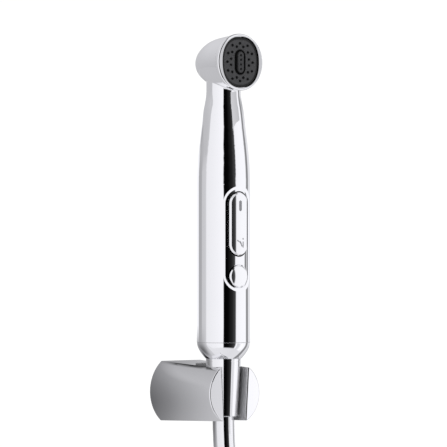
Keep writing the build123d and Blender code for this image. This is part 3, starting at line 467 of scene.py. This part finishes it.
# Hose
# Smooth silver hose, 14 mm thick and 1.25 m long: down from the nut, over to the right into a coil of a
# little more than two turns, held by a rubber tie, and a short straight end. Its line is one open spline
# that the route's points steer, and the route's last run touches the coil's circle.
hose_thick = 0.014
route = [(0.0, -0.0129), (0.0, -0.0529), (0.01753, -0.08885), (0.04905, -0.11348)]
hose_end_z = round(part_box("hose_end")[0][2], place_digits)
entry_turn = 52.0
coil_r = 0.078
coil_pitch = 0.0155
coil_turns = 2
points_per_turn = 24

line = [(x, wand_y, z) for x, z in route]
enter_x, enter_z = route[-1]
entry = math.radians(entry_turn)
coil_x = round(enter_x - coil_r * math.cos(entry), place_digits)
coil_z = round(enter_z - coil_r * math.sin(entry), place_digits)
whole = coil_turns + entry_turn / 360
steps = round(points_per_turn * whole)
for step in range(1, steps + 1):
    turned = whole * step / steps
    angle = entry - 2 * math.pi * turned
    line.append((coil_x + coil_r * math.cos(angle), wand_y - coil_pitch * turned,
                 coil_z + coil_r * math.sin(angle)))
end_x, end_y, tangent_z = line[-1]
line.append((end_x, end_y, (tangent_z + hose_end_z) / 2))
line.append((end_x, end_y, hose_end_z))

curve = bpy.data.curves.new("hose", "CURVE")
curve.dimensions = "3D"
curve.bevel_depth = hose_thick / 2
curve.bevel_resolution = 8
curve.resolution_u = 8
curve.use_fill_caps = True
spline = curve.splines.new("NURBS")
spline.points.add(len(line) - 1)
spline.points.foreach_set("co", [value for place in line for value in (*place, 1.0)])
spline.order_u = 3
spline.use_endpoint_u = True
hose = bpy.data.objects.new("hose", curve)
bpy.context.scene.collection.objects.link(hose)
hose_silver = finish_with("hose silver", plating, {
    "Tone": (0.86, 0.86, 0.875, 1), "Other tone": (0.9, 0.9, 0.91, 1),
    "Base": 0.05, "Spread": 0.04, "Scale": 120.0})
curve.materials.append(hose_silver)
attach(hose, "root")
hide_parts("hose_tube", "hose_coil", "hose_end")
tie_rubber = finish_with("tie rubber", moulded, {
    "Tone": (0.02, 0.02, 0.021, 1), "Other tone": (0.03, 0.03, 0.031, 1),
    "Base": 0.5, "Spread": 0.1, "Scale": 150.0, "Grain": 3000.0}, metallic=0.0, bump=0.15)
wears("coil_tie", tie_rubber)

# Camera
# Level, at the middle of the picture's height, 38 degrees to the holder's left.
camera_azimuth = math.radians(-38)
camera_distance = 2.27
camera_height = 0.1077
width_at_wand = 0.2843
sensor_width = 36.0
to_right = (math.cos(camera_azimuth), math.sin(camera_azimuth), 0)
to_camera = (math.sin(camera_azimuth), -math.cos(camera_azimuth), 0)
camera_data = bpy.data.cameras.new("camera")
camera_data.sensor_width = sensor_width
camera_data.lens = sensor_width * camera_distance / width_at_wand
camera_data.clip_start, camera_data.clip_end = 0.1, 20.0
camera = bpy.data.objects.new("camera", camera_data)
camera.location = (camera_distance * to_camera[0], wand_y + camera_distance * to_camera[1], camera_height)
camera.rotation_euler = (math.radians(90), 0, camera_azimuth)
bpy.context.scene.collection.objects.link(camera)
bpy.context.scene.camera = camera


# White room
# A photographer's tent that lights the part and shows in its chrome: white, with one long black strip just
# right of the camera, soft greys at the sides and behind, and others overhead and below. The camera itself
# sees plain white.
def grey(level):
    """A slightly cool grey that shows as this level, 0 to 255, by the screen's own power curve."""
    blue_share = 1.035
    share = level / 255
    linear = share / 12.92 if share <= 0.04045 else ((share + 0.055) / 1.055) ** 2.4
    return (linear, linear, linear * blue_share, 1.0)


def plain(level):
    """A colour that carries a plain number, for a share or a strength."""
    return (level, level, level, 1.0)


def ramp(tree, share, stops, shade=grey):
    """A colour ramp over a share from 0 to 1: stops are (share, level), and shade colours a level."""
    made = tree.nodes.new("ShaderNodeValToRGB")
    bar = made.color_ramp.elements
    bar.remove(bar[-1])
    for count, (spot, level) in enumerate(stops):
        stop = bar.new(spot) if count else bar[0]
        stop.position = spot
        stop.color = shade(level)
    feed(tree, made, "Fac", share)
    return made, "Color"


def all_round(stops):
    """Stops at bearings in degrees, as shares of the whole turn from -180 to 180."""
    return [(0.5 + degrees / 360, level) for degrees, level in stops]


def studio_world():
    """Bearing = angle of the ray's level part from the camera; three ramps are mixed by the ray's rise."""
    world = bpy.data.worlds.new("studio")
    world.use_nodes = True
    tree = world.node_tree
    place = tree.nodes.new("ShaderNodeTexCoord")
    sides = []
    for direction in (to_right, to_camera):
        part = tree.nodes.new("ShaderNodeVectorMath")
        part.operation = "DOT_PRODUCT"
        feed(tree, part, 0, (place, "Generated"))
        feed(tree, part, 1, direction)
        sides.append((part, "Value"))
    share = reckon(tree, "MULTIPLY_ADD", reckon(tree, "ARCTAN2", *sides), 0.5 / math.pi, 0.5)
    level = ramp(tree, share, all_round([
        (-180, 255), (-137, 252), (-133, 172), (-110, 174), (-106, 202), (-84, 207), (-78, 240),
        (-40, 246), (-2, 253), (1, 0), (20, 8), (38, 36), (53, 72), (57, 250), (85, 255), (112, 255),
        (117, 140), (130, 140), (134, 228), (179, 240)]))
    high = ramp(tree, share, all_round([
        (-180, 30), (-139, 30), (-132, 180), (-104, 190), (-80, 200), (-40, 228), (-4, 236), (2, 50),
        (28, 50), (44, 236), (120, 236), (150, 120), (165, 30)]))
    low = ramp(tree, share, all_round([
        (-180, 176), (-150, 192), (-120, 194), (-104, 194), (-86, 206), (-79, 230), (-40, 233), (40, 228),
        (60, 226), (112, 230), (117, 138), (130, 138), (134, 226), (179, 180)]))
    reach = ramp(tree, share, all_round([
        (-180, 0.06), (-104, 0.06), (-80, 0.12), (-58, 0.60), (115, 0.60), (135, 0.10), (179, 0.06)]),
        shade=plain)
    rise = tree.nodes.new("ShaderNodeSeparateXYZ")
    feed(tree, rise, 0, (place, "Generated"))
    room = level
    for other, upward, spread in ((high, 1.0, 0.08), (low, -1.0, 0.10)):
        past = reckon(tree, "SUBTRACT", reckon(tree, "MULTIPLY", (rise, "Z"), upward), reach)
        room = mixed(tree, "RGBA", fade_between(tree, past, 0.0, spread), room, other)
    path = tree.nodes.new("ShaderNodeLightPath")
    backdrop = plain(1.06)
    feed(tree, tree.nodes["Background"], "Color",
         mixed(tree, "RGBA", (path, "Is Camera Ray"), room, backdrop))
    return world


bpy.context.scene.world = studio_world()

# Floor
# A wide pale disc just under the hose. It is clear from below and isn't seen in the chrome.
floor_r = 3.8
floor_z = -0.283
floor_corners = 96
around = np.linspace(0, 2 * np.pi, floor_corners, endpoint=False)
edge = np.stack([floor_r * np.cos(around), floor_r * np.sin(around), np.full(floor_corners, floor_z)], axis=1)
floor_mesh = bpy.data.meshes.new("floor")
floor_mesh.from_pydata(edge.tolist(), [], [tuple(range(floor_corners))])
floor = bpy.data.objects.new("floor", floor_mesh)
bpy.context.scene.collection.objects.link(floor)
floor_paint = bpy.data.materials.new("floor paint")
floor_paint.use_nodes = True
paint_tree = floor_paint.node_tree
floor_shader = paint_tree.nodes["Principled BSDF"]
feed(paint_tree, floor_shader, "Base Color", (0.93, 0.93, 0.93, 1))
feed(paint_tree, floor_shader, "Roughness", 0.8)
feed(paint_tree, floor_shader, "Emission Color", (1, 1, 1, 1))
feed(paint_tree, floor_shader, "Emission Strength", 0.25)
side = paint_tree.nodes.new("ShaderNodeNewGeometry")
clear = paint_tree.nodes.new("ShaderNodeBsdfTransparent")
either = paint_tree.nodes.new("ShaderNodeMixShader")
feed(paint_tree, either, 0, (side, "Backfacing"))
feed(paint_tree, either, 1, (floor_shader, "BSDF"))
feed(paint_tree, either, 2, (clear, "BSDF"))
feed(paint_tree, paint_tree.nodes["Material Output"], "Surface", (either, 0))
floor_mesh.materials.append(floor_paint)
floor.visible_glossy = False


# Cards
# Upright cards of soft light near the part, outside its box and seen only in the chrome: they give the
# head's back, the bezel's cheek, the holder's side and front and its upper ledge their even greys. The two
# in front slant towards the wall as they go right.
def card(name, ends, heights, measure, stops, soft=0.0, outward=False):
    """A card between two (x, y) ends. Its stops are screen greys by the place along measure, or by the
    distance from it if outward, and it glows a little over them, for the light that chrome swallows."""
    chrome_loss = 1.08
    first, second = ends
    low, high = heights
    mesh = bpy.data.meshes.new(name)
    mesh.from_pydata([(*first, low), (*second, low), (*second, high), (*first, high)], [], [(0, 1, 2, 3)])
    made = bpy.data.objects.new(name, mesh)
    bpy.context.scene.collection.objects.link(made)
    paint = bpy.data.materials.new(name)
    paint.use_nodes = True
    tree = paint.node_tree
    tree.nodes.clear()
    place = tree.nodes.new("ShaderNodeTexCoord")
    along = tree.nodes.new("ShaderNodeVectorMath")
    along.operation = "DISTANCE" if outward else "DOT_PRODUCT"
    feed(tree, along, 0, (place, "Object"))
    feed(tree, along, 1, measure)
    start, end = stops[0][0], stops[-1][0]
    shares = [((spot - start) / (end - start), level) for spot, level in stops]
    glow = tree.nodes.new("ShaderNodeEmission")
    feed(tree, glow, "Strength", chrome_loss)
    feed(tree, glow, "Color", ramp(tree, fade_between(tree, (along, "Value"), start, end), shares))
    up = tree.nodes.new("ShaderNodeSeparateXYZ")
    feed(tree, up, 0, (place, "Object"))
    nothing = tree.nodes.new("ShaderNodeBsdfTransparent")
    faded = tree.nodes.new("ShaderNodeMixShader")
    feed(tree, faded, 0, fade_between(tree, (up, "Z"), high - soft, high) if soft else 0.0)
    feed(tree, faded, 1, (glow, "Emission"))
    feed(tree, faded, 2, (nothing, "BSDF"))
    feed(tree, tree.nodes.new("ShaderNodeOutputMaterial"), "Surface", (faded, 0))
    mesh.materials.append(paint)
    made.visible_camera = made.visible_diffuse = made.visible_shadow = False


upward = (0, 0, 1)
rightward = (1, 0, 0)
slanting = (math.cos(camera_azimuth), -math.sin(camera_azimuth), 0)
card("head card", ends=((-0.24, 0.10), (0.24, 0.10)), heights=(0.186, 0.40), measure=upward,
     stops=[(0.186, 185), (0.208, 187), (0.26, 197), (0.36, 216)])
card("bezel card", ends=((0.0175, -0.1496), (0.0805, -0.1004)), heights=(0.190, 0.235), measure=slanting,
     stops=[(-0.08, 206), (0.0, 190)])
card("holder card", ends=((-0.12, 0.01), (0.02, 0.01)), heights=(-0.125, 0.042),
     measure=(-0.025, 0.01, -0.008), outward=True, soft=0.014,
     stops=[(0.011, 106), (0.026, 131), (0.040, 155), (0.055, 173), (0.070, 186), (0.10, 200)])
card("ledge card", ends=((0.02, 0.05), (0.115, 0.05)), heights=(0.0185, 0.030), measure=rightward,
     stops=[(0.03, 148), (0.06, 184), (0.09, 194)])
card("front card", ends=((0.0234, -0.1145), (0.0534, -0.0911)), heights=(-0.030, 0.024), measure=slanting,
     stops=[(-0.055, 210), (-0.040, 218), (-0.028, 250), (-0.018, 255)])

bpy.context.scene.view_settings.view_transform = "Standard"
